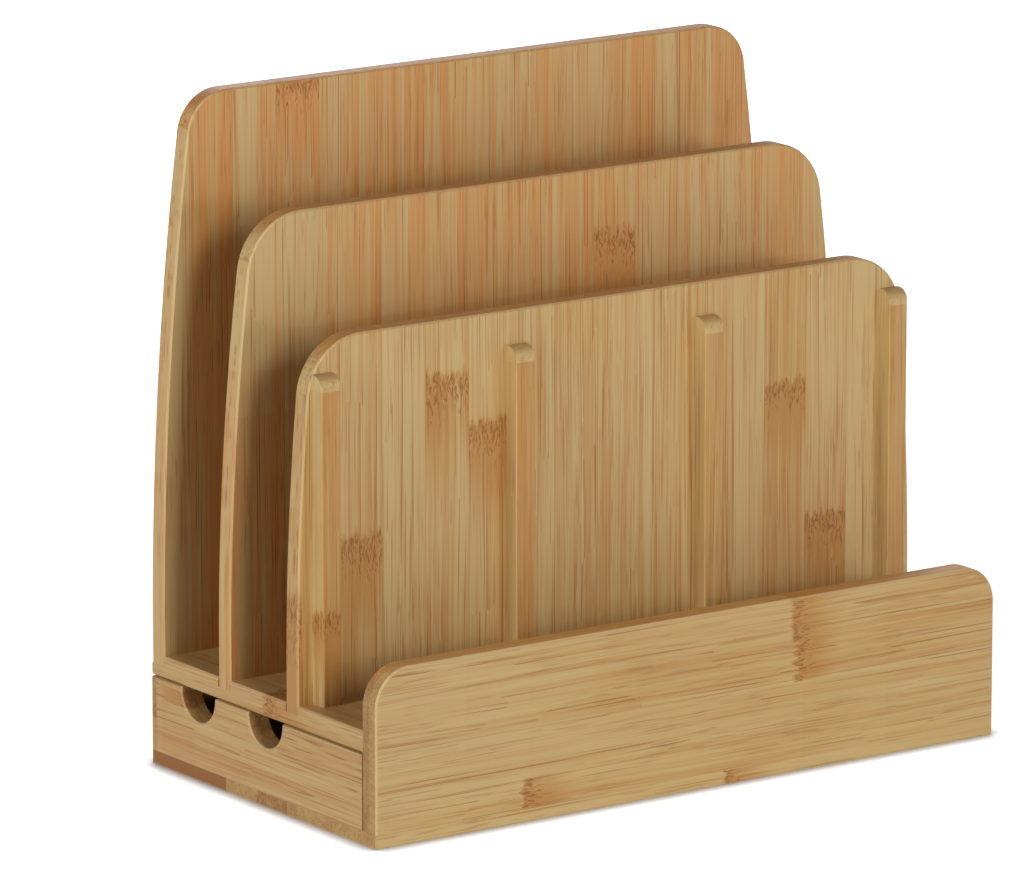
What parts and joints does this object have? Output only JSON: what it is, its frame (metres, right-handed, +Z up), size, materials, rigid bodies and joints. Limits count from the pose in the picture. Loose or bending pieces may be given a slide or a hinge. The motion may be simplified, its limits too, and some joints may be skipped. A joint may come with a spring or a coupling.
{
  "type": "charging station organizer",
  "caption": "Bamboo charging station: a low box for a charger, with a lift-off shelf whose upright dividers and ribs hold tablets and phones.",
  "frame": {"origin": "centre of the underside, on the surface that the box stands on", "axes": "+X to the right seen from the front lip, +Y from the lip to the rear wall, +Z up"},
  "size_m": [0.25, 0.132, 0.225],
  "materials": {
    "bamboo_pale": "pale side-pressed bamboo strips, satin lacquer",
    "bamboo_warm": "warmer caramel bamboo strips, satin lacquer",
    "bamboo_dark_strip": "bamboo of mixed pale and dark glued strips, satin lacquer"
  },
  "bodies": {
    "base": {"bottom_board": "bamboo_dark_strip", "left_side_panel": "bamboo_pale", "right_side_panel": "bamboo_pale", "rear_wall": "bamboo_warm", "front_panel": "bamboo_pale"},
    "top": {"shelf_board": "bamboo_warm", "back_divider": "bamboo_warm", "middle_divider": "bamboo_pale", "front_divider": "bamboo_pale", "phone_rib_1": "bamboo_warm", "phone_rib_2": "bamboo_warm", "phone_rib_3": "bamboo_warm", "phone_rib_4": "bamboo_warm", "locating_block_front_left": "bamboo_warm", "locating_block_front_right": "bamboo_warm", "locating_block_rear_left": "bamboo_warm", "locating_block_rear_right": "bamboo_warm"}
  },
  "joints": [
    {"name": "top_lift", "type": "slide", "parent": "base", "child": "top", "axis": [0, 0, 1], "range_m": [0, 0.06]}
  ]
}
